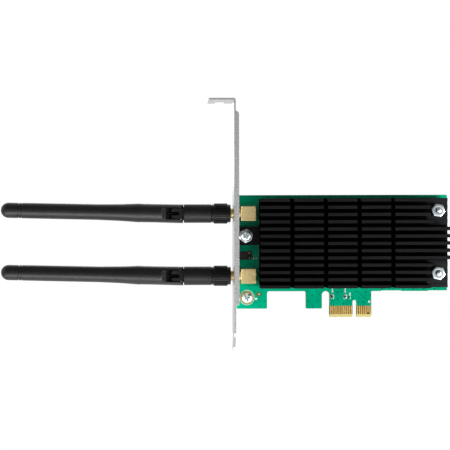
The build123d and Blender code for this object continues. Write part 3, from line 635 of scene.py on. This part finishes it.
# Corners of the sunk lines where copper stops, on each face
GROOVE_PATHS = {
    Side.FRONT: (
        ((0.75, 12.9), (6.45, 8.0)), ((0.75, 12.9), (-1.15, 11.1)),
        ((-11.15, 8.4), (-11.15, 5.7)), ((-10.10, 8.4), (-10.10, 5.7)),
        ((-5.10, 8.4), (-5.10, 5.7)), ((-3.70, 8.4), (-3.70, 5.7)),
        ((-2.2, 8.6), (-2.2, 5.7)), ((3.9, 7.0), (3.9, 5.7)), ((5.2, 7.0), (5.2, 5.7)),
    ),
    Side.BACK: (
        ((-46.0, 38.0), (-22.0, 38.0), (-9.5, 25.5), (-9.5, 5.7)),
        ((-20.5, 38.0), (-7.5, 25.0), (-7.5, 5.7)),
        ((-20.5, 38.0), (30.0, 38.0)),
        ((4.5, 5.7), (4.5, 20.0), (16.0, 31.5), (34.0, 31.5)),
    ),
}


AnyFinish = Finish | BoardFinish | HeatsinkFinish


class Palette:
    """Makes each finish once and hands out its material."""

    def __init__(self) -> None:
        """Starts with no materials made."""
        self._made: dict[str, Material] = {}

    def get(self, finish: AnyFinish) -> Material:
        """Gives a finish's material, making it the first time.

        Args:
            finish: The finish that is wanted.

        Returns:
            Its material.
        """
        if finish.name not in self._made:
            self._made[finish.name] = finish.make()
        return self._made[finish.name]


def at(x: float, y: float, z: float) -> Vector:
    """A point in millimetres as a vector in metres."""
    return Vector((x, y, z)) * MM


def add_block(bm: Mesh, first: Sequence[float], second: Sequence[float]) -> None:
    """Adds a block between two corners.

    Args:
        bm: The mesh that gets it.
        first: One corner.
        second: The opposite corner.
    """
    middle = [(a + b) / 2 for a, b in zip(first, second)]
    size = [abs(b - a) * MM for a, b in zip(first, second)]
    place = Matrix.Translation(at(*middle)) @ Matrix.Diagonal((*size, 1.0))
    bmesh.ops.create_cube(bm, size=1.0, matrix=place)


def add_disc(
    bm: Mesh, x: float, z: float, radius: float, side: Side, thick: float, segments: int = 8
) -> None:
    """Adds a thin disc that lies on one face of the board.

    Args:
        bm: The mesh that gets it.
        x: Middle along X.
        z: Middle along Z.
        radius: Radius of the disc.
        side: The face that it lies on.
        thick: How far it stands off that face.
        segments: Number of sides.
    """
    y = side.value * (BOARD_BACK + thick / 2)
    place = Matrix.Translation(at(x, y, z)) @ Matrix.Rotation(math.radians(90), 4, "X")
    bmesh.ops.create_cone(
        bm,
        cap_ends=True,
        segments=segments,
        radius1=radius * MM,
        radius2=radius * MM,
        depth=thick * MM,
        matrix=place,
    )


def add_ring(bm: Mesh, ring: Spot, thick: float) -> None:
    """Adds a thin flat ring that lies on the board's front.

    Args:
        bm: The mesh that gets it.
        ring: Its middle and its inside and outside radii.
        thick: How far it stands off the board.
    """
    x, z, inner, outer = ring
    foot, top = BOARD_FRONT, BOARD_FRONT - thick
    section = [(inner, foot), (outer, foot), (outer, top), (inner, top)]
    verts = [bm.verts.new(at(x + r, y, z)) for r, y in section]
    edges = [bm.edges.new((verts[i], verts[(i + 1) % 4])) for i in range(4)]
    bmesh.ops.spin(
        bm,
        geom=[*verts, *edges],
        cent=at(x, 0, z),
        axis=(0, 1, 0),
        angle=math.tau,
        steps=36,
        use_merge=True,
    )


def outward(bm: Mesh) -> None:
    """Merges doubles and turns every face outwards."""
    bmesh.ops.remove_doubles(bm, verts=bm.verts, dist=1e-7)
    bmesh.ops.recalc_face_normals(bm, faces=bm.faces)


def make_object(bm: Mesh, name: str, material: Material, smooth: bool = False) -> Object:
    """Turns a bmesh into an object of the scene.

    Args:
        bm: The finished mesh, which is freed.
        name: The object's name.
        material: Its material.
        smooth: Whether its faces are shaded smooth, with sharp edges kept.

    Returns:
        The object.
    """
    mesh = bpy.data.meshes.new(name)
    bm.to_mesh(mesh)
    bm.free()
    if smooth:
        mesh.shade_smooth()
        mesh.set_sharp_from_angle(angle=math.radians(SHARP_ANGLE))
    mesh.materials.append(material)
    made = bpy.data.objects.new(name, mesh)
    bpy.context.scene.collection.objects.link(made)
    return made


def finished(bm: Mesh, name: str, material: Material, smooth: bool = False) -> Object:
    """Cleans up a bmesh and turns it into a piece that stays with the card.

    Args:
        bm: The mesh, which is freed.
        name: The piece's name.
        material: Its material.
        smooth: Whether it is shaded smooth.

    Returns:
        The piece.
    """
    outward(bm)
    piece = make_object(bm, name, material, smooth)
    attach(piece, "card")
    LOG.info("%s: %d faces, rides on the card", name, len(piece.data.polygons))
    return piece


def dress(node: Object, material: Material, edge_mm: float) -> None:
    """Gives a node of the frame its material and, if asked, softly rounded edges.

    Args:
        node: The node, whose own mesh stays as it is.
        material: Its material.
        edge_mm: Width of the rounding, or 0 for none.
    """
    mesh = node.data
    mesh.materials.clear()
    mesh.materials.append(material)
    for face in mesh.polygons:
        face.material_index = 0
    if edge_mm > 0:
        if "custom_normal" in mesh.attributes:
            mesh.attributes.remove(mesh.attributes["custom_normal"])
        mesh.shade_smooth()
        weld = node.modifiers.new("weld", "WELD")
        weld.merge_threshold = WELD_MM * MM
        bevel = node.modifiers.new("edges", "BEVEL")
        bevel.width = edge_mm * MM
        bevel.segments = 2
        bevel.limit_method = "ANGLE"
        bevel.angle_limit = math.radians(ROUNDED_ANGLE)
        bevel.use_clamp_overlap = True
        flats = node.modifiers.new("flats", "WEIGHTED_NORMAL")
        flats.weight = 100
    LOG.info("%s: dressed in %s", node.name, material.name)


@dataclass
class Assembly:
    """A sub-assembly of the card.

    Attributes:
        palette: Where its materials come from.
        nodes: The frame's nodes.
    """

    palette: Palette
    nodes: dict[str, Object]

    def dress_all(self, ending: str = "", **looks: tuple[AnyFinish, float]) -> None:
        """Dresses several nodes.

        Args:
            ending: What each node's name ends with.
            looks: Finish and width of the rounded edges, by the start of the node's name.
        """
        for name, (finish, edge_mm) in looks.items():
            dress(self.nodes[name + ending], self.palette.get(finish), edge_mm)


@dataclass
class Board(Assembly):
    """The circuit board with its contacts, printing, vias and small parts.

    Attributes:
        ink: Thickness of the printing.
        ink_sunk: How far it reaches into the board.
        line: Width of a printed line.
        dot: Middle and radius of the printed dot.
        screw_ring: Middle and both radii of the ring printed round the screw.
        film: Height of the marks that lie in the mask.
        via_radii: Radius of a via's mark on the front and on the back.
        groove: Width of a sunk line.
        pad_ring: Middle and both radii of the bare ring round the small pad.
        chip_height: Height of the small capacitors.
        chip_sunk: How far their ceramic lies under their ends' faces.
        chip_end: Length of an end, as a share of the capacitor's length.
        chip_edge: Width of their rounded edges.
    """

    ink: float = 0.02
    ink_sunk: float = 0.005
    line: float = 0.16
    dot: tuple[float, float, float] = (7.16, 7.47, 0.56)
    screw_ring: Spot = (-52.2, 9.6, 3.45, 3.65)
    film: float = 0.012
    via_radii: Pair = (0.27, 0.24)
    groove: float = 0.26
    pad_ring: Spot = (-46.35, 11.26, 0.58, 1.04)
    chip_height: float = 0.38
    chip_sunk: float = 0.03
    chip_end: float = 0.22
    chip_edge: float = 0.05

    def build(self) -> None:
        """Dresses the board's nodes and adds everything printed or soldered on it."""
        self.dress_all(
            pcb=(BoardFinish(), 0.04),
            contacts_front=(CONTACT_GOLD, 0.0),
            contacts_back=(CONTACT_GOLD, 0.0),
            screw_land=(CONTACT_GOLD, 0.0),
            spare_pad=(CONTACT_GOLD, 0.0),
            wifi_chip=(CHIP_EPOXY, 0.05),
            frontend_chips=(CHIP_EPOXY, 0.05),
            thermal_pads=(SILICONE_PAD, 0.05),
            crystal=(ZINC_STEEL, 0.1),
            edge_block=(BLOCK_NYLON, 0.12),
            edge_block_terminals=(TERMINAL_GOLD, 0.06),
            jack_solder=(SOLDER, 0.15),
        )
        self.bright_marks()
        self.thin_marks()
        self.vias()
        self.grooves()
        self.pad_opening()
        self.chip_parts()

    def bar(self, bm: Mesh, area: Area, side: Side = Side.FRONT) -> None:
        """Adds one printed bar on a face of the board.

        Args:
            bm: The mesh that gets it.
            area: Its outline.
            side: The face that it lies on.
        """
        left, right, bottom, top = area
        foot = side.value * (BOARD_BACK - self.ink_sunk)
        face = side.value * (BOARD_BACK + self.ink)
        add_block(bm, (left, foot, bottom), (right, face, top))

    def frame(self, bm: Mesh, area: Area, side: Side) -> None:
        """Adds a printed rectangle with open middle.

        Args:
            bm: The mesh that gets it.
            area: Its outline.
            side: The face that it lies on.
        """
        left, right, bottom, top = area
        w = self.line
        self.bar(bm, (left, right, top - w, top), side)
        self.bar(bm, (left, right, bottom, bottom + w), side)
        self.bar(bm, (left, left + w, bottom + w, top - w), side)
        self.bar(bm, (right - w, right, bottom + w, top - w), side)

    def bright_marks(self) -> None:
        """Prints the clear white marks: capacitors' frames, blank tags, the dot and the ring."""
        bm = bmesh.new()
        for x, z, *_ in CAPACITORS[:2]:
            for left, right, bottom, top in CAPACITOR_MARKS:
                self.bar(bm, (x + left, x + right, z + bottom, z + top))
        for area in BRIGHT_BARS:
            self.bar(bm, area)
        add_disc(bm, *self.dot, Side.FRONT, self.ink, segments=24)
        add_ring(bm, self.screw_ring, self.ink)
        finished(bm, "printed_marks", self.palette.get(INK))

    def thin_marks(self) -> None:
        """Prints the thin lines that the mask shows through, round jacks, block and heatsink."""
        bm = bmesh.new()
        left, right, bottom, top = JACK_OUTLINE
        for z in JACK_Z.values():
            for side in Side:
                self.frame(bm, (left, right, z + bottom, z + top), side)
        for area in THIN_BARS:
            self.bar(bm, area)
        finished(bm, "printed_outlines", self.palette.get(THIN_INK))

    def vias(self) -> None:
        """Sinks the plugged vias along the board's edges, by the contacts and on the back."""
        bm = bmesh.new()
        front_radius, back_radius = self.via_radii
        rows = [(x - VIA_PITCH * i, z) for x, z, count in VIA_ROWS for i in range(count)]
        for x, z in (*rows, *VIA_SPOTS):
            add_disc(bm, x, z, front_radius, Side.FRONT, self.film)
            add_disc(bm, x, z, back_radius, Side.BACK, self.film)
        for x, z in BACK_VIAS:
            add_disc(bm, x, z, back_radius, Side.BACK, self.film)
        finished(bm, "plugged_vias", self.palette.get(MASK_DIMPLE))

    def grooves(self) -> None:
        """Draws the sunk lines where copper areas under the mask stop."""
        bm = bmesh.new()
        runs = [
            (side, *run)
            for side, paths in GROOVE_PATHS.items()
            for path in paths
            for run in zip(path, path[1:])
        ]
        for side, (x0, z0), (x1, z1) in runs:
            length = math.hypot(x1 - x0, z1 - z0)
            turn = math.atan2(z1 - z0, x1 - x0)
            middle = at((x0 + x1) / 2, side.value * BOARD_BACK, (z0 + z1) / 2)
            place = Matrix.Translation(middle) @ Matrix.Rotation(-turn, 4, "Y")
            size = Matrix.Diagonal((length * MM, self.film * MM, self.groove * MM, 1.0))
            bmesh.ops.create_cube(bm, size=1.0, matrix=place @ size)
        finished(bm, "mask_grooves", self.palette.get(MASK_GROOVE))

    def pad_opening(self) -> None:
        """Bares the ring of laminate round the small gilded pad."""
        bm = bmesh.new()
        add_ring(bm, self.pad_ring, self.film)
        finished(bm, "pad_opening", self.palette.get(BARE_LAMINATE))

    def chip_parts(self) -> None:
        """Builds the small capacitors as ceramic bodies with tinned ends."""
        bodies, ends = bmesh.new(), bmesh.new()
        back, face = BOARD_FRONT, BOARD_FRONT - self.chip_height
        for x, z, wide, tall in CAPACITORS:
            half_x, half_z = wide / 2, tall / 2
            end = self.chip_end * max(wide, tall)
            if tall > wide:
                trim_x, trim_z = self.chip_sunk, end
                inner_x, inner_z = -half_x, half_z - end
            else:
                trim_x, trim_z = end, self.chip_sunk
                inner_x, inner_z = half_x - end, -half_z
            add_block(
                bodies,
                (x - half_x + trim_x, face + self.chip_sunk, z - half_z + trim_z),
                (x + half_x - trim_x, back, z + half_z - trim_z),
            )
            for sign in (-1, 1):
                add_block(
                    ends,
                    (x + sign * half_x, face, z + sign * half_z),
                    (x + sign * inner_x, back, z + sign * inner_z),
                )
        for bm in (bodies, ends):
            bmesh.ops.bevel(
                bm,
                geom=bm.edges[:],
                offset=self.chip_edge * MM,
                offset_type="OFFSET",
                affect="EDGES",
                segments=2,
                profile=0.5,
                material=-1,
                clamp_overlap=True,
            )
        finished(bodies, "capacitor_bodies", self.palette.get(CERAMIC))
        tinned = finished(ends, "capacitor_ends", self.palette.get(SOLDER))
        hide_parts("chip_capacitors")


class Cooling(Assembly):
    """The heatsink and everything that fastens it."""

    def build(self) -> None:
        """Dresses the heatsink, its washers, screws and nuts."""
        self.dress_all(
            heatsink=(HeatsinkFinish(), 0.06),
            heatsink_spacers=(NYLON_WASHER, 0.08),
            heatsink_screws=(ZINC_STEEL, 0.09),
            heatsink_nuts=(ZINC_STEEL, 0.09),
            ear_screw=(ZINC_STEEL, 0.09),
        )


class Bracket(Assembly):
    """The slot bracket and the screw that holds the board's corner to it."""

    def build(self) -> None:
        """Dresses the bracket and the screw."""
        self.dress_all(bracket=(BRACKET_STEEL, 0.26), bracket_screw=(ZINC_STEEL, 0.09))


@dataclass
class Jack(Assembly):
    """One threaded coaxial jack.

    Attributes:
        side: "upper" or "lower".
        pitch: Thread pitch.
        flank: Half the ridge's width at its foot, as a share of the pitch.
        root: Radius at which the thread's flanks meet the barrel.
        crest: Radius of the thread's crest.
        start: Where the thread starts along X.
        turns: Number of turns.
        steps: Number of steps in a turn.
    """

    side: str
    pitch: float = 0.7056
    flank: float = 0.42
    root: float = 3.12
    crest: float = 3.232
    start: float = -60.75
    turns: float = 7.6
    steps: int = 24

    def build(self) -> None:
        """Dresses the jack and cuts its thread."""
        self.dress_all(
            f"_{self.side}",
            jack_body=(JACK_GOLD, 0.06),
            jack_insulator=(PTFE, 0.0),
            jack_pin=(CONTACT_GOLD, 0.0),
        )
        self.thread()

    def thread(self) -> None:
        """Winds the thread's ridge round the barrel."""
        z = JACK_Z[self.side]
        half = self.pitch * self.flank
        profile = (
            (self.start + half, self.root),
            (self.start, self.crest),
            (self.start - half, self.root),
        )
        bm = bmesh.new()
        verts = [bm.verts.new(at(x, JACK_Y - r, z)) for x, r in profile]
        face = bm.faces.new(verts)
        bmesh.ops.spin(
            bm,
            geom=[*verts, *face.edges, face],
            cent=at(0, JACK_Y, z),
            axis=(1, 0, 0),
            dvec=at(-self.pitch / self.steps, 0, 0),
            angle=math.tau * self.turns,
            steps=round(self.turns * self.steps),
            use_merge=False,
        )
        gold = self.palette.get(TURNED_GOLD)
        finished(bm, f"jack_thread_{self.side}", gold, smooth=True)


@dataclass
class Antenna(Assembly):
    """One folding stick antenna with its screw-on plug.

    Attributes:
        side: "upper" or "lower".
        pivot_x: Where the fold axis crosses the antenna's own axis.
        cable_radius: Radius of the cable that crosses the hinge.
        cable_reach: How far each way from the fold axis the bending length runs.
        cable_bend: How far each way from the fold axis it bends. It is not used.
        cable_cuts: Number of cuts along it.
    """

    side: str
    pivot_x: float = -87.39
    cable_radius: float = 0.6
    cable_reach: float = 1.5
    cable_bend: float = 0.75
    cable_cuts: int = 11

    def build(self) -> None:
        """Dresses the antenna's nodes and adds the cable's bend."""
        self.dress_all(
            f"_{self.side}",
            plug_ferrule=(TURNED_GOLD, 0.05),
            plug_insulator=(PTFE, 0.0),
            plug_socket=(CONTACT_GOLD, 0.0),
            snap_ring=(SPRING_BRONZE, 0.03),
            coupling_nut=(TURNED_GOLD, 0.08),
            nut_grip=(GRIP_ABS, 0.07),
            knuckle=(KNUCKLE_ABS, 0.10),
            cable_inner=(CABLE_JACKET, 0.0),
            blade=(ANTENNA_ABS, 0.14),
            tip_cap=(ANTENNA_ABS, 0.05),
            cable_outer=(CABLE_JACKET, 0.0),
            radiator_sleeve=(PLAIN_BRASS, 0.04),
            radiator_wire=(BARE_COPPER, 0.0),
        )
        self.cable_across_hinge()

    def cable_across_hinge(self) -> None:
        """Builds the short length of cable that crosses the hinge."""
        z = JACK_Z[self.side]
        bm = bmesh.new()
        turned = Matrix.Rotation(math.radians(90), 4, "Y")
        bmesh.ops.create_cone(
            bm,
            cap_ends=True,
            segments=20,
            radius1=self.cable_radius * MM,
            radius2=self.cable_radius * MM,
            depth=2 * self.cable_reach * MM,
            matrix=Matrix.Translation(at(self.pivot_x, JACK_Y, z)) @ turned,
        )
        least = self.cable_reach * MM
        long_edges = [e for e in bm.edges if abs((e.verts[0].co - e.verts[1].co).x) > least]
        bmesh.ops.subdivide_edges(bm, edges=long_edges, cuts=self.cable_cuts)
        outward(bm)
        jacket = self.palette.get(CABLE_JACKET)
        piece = make_object(bm, f"cable_bend_{self.side}", jacket, smooth=True)
        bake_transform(piece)
        LOG.info("%s: %d faces, bends with the blade", piece.name, len(piece.data.polygons))


@dataclass
class Studio:
    """Camera, lamps, floor and surroundings.

    Attributes:
        floor_middle: Middle of the floor.
        floor_radius: Radius of the floor, in metres.
        floor_tones: The floor's two tones.
        floor_mark_mm: Size of the marks that they make.
        floor_rough: The floor's roughness.
        floor_glow: Light that the floor gives off where it is seen.
        fill: Brightness that matt surfaces find ahead and below, and above.
        fill_span: Heights, from 0 level to 1 straight up, at which it starts and stops rising.
        strip_light: Brightness of the strip that shiny surfaces find below and in front.
        right_gain: How much brighter the front is towards the right.
        right_span: Directions along X at which that gain starts and is full.
        behind_light: Brightness of the white that shiny surfaces find behind and at the left.
        behind_span: Directions along Y at which that white starts and is full.
        left_span: Directions along X at which it starts and is full.
        room: Heights, from 0 straight down to 1 straight up, and shares of the strip's
            brightness there. The first two are the ramp's ends.
    """

    floor_middle: tuple[float, float, float] = (-60.0, 0.0, -290.0)
    floor_radius: float = 0.24
    floor_tones: tuple[str, str] = ("#F2F2F1", "#F6F6F5")
    floor_mark_mm: float = 4.0
    floor_rough: float = 0.9
    floor_glow: float = 0.92
    fill: Pair = (0.08, 0.28)
    fill_span: Pair = (0.0, 0.7)
    strip_light: float = 6.0
    right_gain: float = 1.35
    right_span: Pair = (0.05, 0.35)
    behind_light: float = 0.76
    behind_span: Pair = (-0.25, 0.20)
    left_span: Pair = (-0.45, -0.85)
    room: tuple[Pair, ...] = (
        (0.00, 0.10), (1.00, 0.03), (0.05, 0.10), (0.14, 1.00), (0.23, 0.35),
        (0.36, 0.10), (0.50, 0.08), (0.64, 0.03), (0.84, 0.035),
    )

    def build(self) -> None:
        """Sets up everything round the object."""
        self.camera()
        self.surroundings()
        self.floor()
        self.lamp(
            "lamp_right", place=at(750, -424, -228), aim=at(0, 0, 35), size=(0.45, 0.45), power=15.5
        )
        self.lamp(
            "lamp_behind", place=at(-60, 720, 320), aim=at(-30, 0, 30), size=(0.9, 0.5), power=2.6
        )
        bpy.context.scene.view_settings.view_transform = "Standard"

    def camera(self) -> None:
        """Sets the camera square to the board, a little above the middle of the jacks."""
        data = bpy.data.cameras.new("camera")
        data.sensor_width = 36.0
        data.lens = 82.4
        data.shift_x = 0.1
        data.shift_y = -0.0289
        data.clip_start = 0.01
        data.clip_end = 50.0
        camera = bpy.data.objects.new("camera", data)
        camera.location = at(-84.59, -500.785, 51.21)
        camera.rotation_euler = (math.radians(90), math.radians(0.1375), 0.0)
        bpy.context.scene.collection.objects.link(camera)
        bpy.context.scene.camera = camera

    def lamp(self, name: str, place: Vector, aim: Vector, size: Pair, power: float) -> None:
        """Adds one soft rectangular lamp.

        Args:
            name: The lamp's name.
            place: Where it stands.
            aim: The point that it faces.
            size: Its width and height in metres.
            power: Its power in watts.
        """
        data = bpy.data.lights.new(name, "AREA")
        data.shape = "RECTANGLE"
        data.size, data.size_y = size
        data.energy = power
        lamp = bpy.data.objects.new(name, data)
        lamp.location = place
        lamp.rotation_mode = "QUATERNION"
        lamp.rotation_quaternion = (aim - place).to_track_quat("-Z", "Y")
        bpy.context.scene.collection.objects.link(lamp)

    def surroundings(self) -> None:
        """Makes the world white where it is seen, and a dimmer room for what shines or is lit."""
        world = bpy.data.worlds.new("surroundings")
        bpy.context.scene.world = world
        world.use_nodes = True
        tree = world.node_tree
        tree.nodes.clear()
        rays = add_node(tree, "ShaderNodeLightPath").outputs
        coords = add_node(tree, "ShaderNodeTexCoord").outputs
        x, y, z = split_axes(tree, coords["Generated"])
        room = add_node(tree, "ShaderNodeValToRGB", {"Fac": remap(tree, z, -1.0, 1.0)})
        self.shade_room(room.color_ramp)
        window = remap(tree, x, *self.right_span, 1.0, self.right_gain)
        level = compute(tree, "MULTIPLY", window, self.strip_light)
        front = compute(tree, "MULTIPLY", room.outputs["Color"], level)
        behind = remap(tree, y, *self.behind_span)
        left = remap(tree, x, *self.left_span)
        white = compute(tree, "MAXIMUM", behind, left)
        shiny = mix(tree, Blend.LEVELS, white, front, self.behind_light)
        straight = compute(tree, "LESS_THAN", rays["Diffuse Depth"], 0.5)
        mirrored = compute(tree, "MULTIPLY", rays["Is Glossy Ray"], straight)
        matt = remap(tree, z, *self.fill_span, *self.fill)
        unseen = mix(tree, Blend.LEVELS, mirrored, matt, shiny)
        seen = compute(tree, "MAXIMUM", rays["Is Camera Ray"], rays["Is Transmission Ray"])
        strength = mix(tree, Blend.LEVELS, seen, unseen, 1.0)
        settings = {"Color": linear("#FFFFFF"), "Strength": strength}
        light = add_node(tree, "ShaderNodeBackground", settings)
        add_node(tree, "ShaderNodeOutputWorld", {"Surface": light.outputs[0]})

    def shade_room(self, ramp: bpy.types.ColorRamp) -> None:
        """Sets what shiny surfaces find in front, from straight down to straight up.

        Args:
            ramp: The ramp over height, whose tones are shares of the strip light's brightness.
        """
        ramp.interpolation = "EASE"
        for index, (height, share) in enumerate(self.room):
            stop = ramp.elements[index] if index < 2 else ramp.elements.new(height)
            stop.position = height
            stop.color = (share, share, share, 1.0)

    def floor(self) -> None:
        """Lays the pale round floor under the card."""
        bm = bmesh.new()
        bmesh.ops.create_circle(
            bm,
            cap_ends=True,
            segments=96,
            radius=self.floor_radius,
            matrix=Matrix.Translation(at(*self.floor_middle)),
        )
        material, tree = new_material("paper_white_matt")
        fibres = noise(tree, object_coords(tree), self.floor_mark_mm)
        tone = mix(tree, Blend.TONES, fibres, *map(linear, self.floor_tones))
        rays = add_node(tree, "ShaderNodeLightPath").outputs
        seen = compute(tree, "MAXIMUM", rays["Is Camera Ray"], rays["Is Glossy Ray"])
        seen = compute(tree, "MAXIMUM", seen, rays["Is Transmission Ray"])
        add_shader(
            tree,
            {
                "Base Color": tone,
                "Roughness": self.floor_rough,
                "Emission Color": linear("#FFFFFF"),
                "Emission Strength": compute(tree, "MULTIPLY", seen, self.floor_glow),
            },
        )
        make_object(bm, "floor", material)


def main() -> None:
    """Builds the studio and each sub-assembly in order, and notes the sizes."""
    logging.basicConfig(level=logging.INFO, format="%(name)s: %(message)s")
    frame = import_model()
    nodes = frame["nodes"]
    palette = Palette()
    Studio().build()
    Board(palette, nodes).build()
    Cooling(palette, nodes).build()
    Bracket(palette, nodes).build()
    for side in JACK_Z:
        Jack(palette, nodes, side).build()
        Antenna(palette, nodes, side).build()


if __name__ == "__main__":
    main()
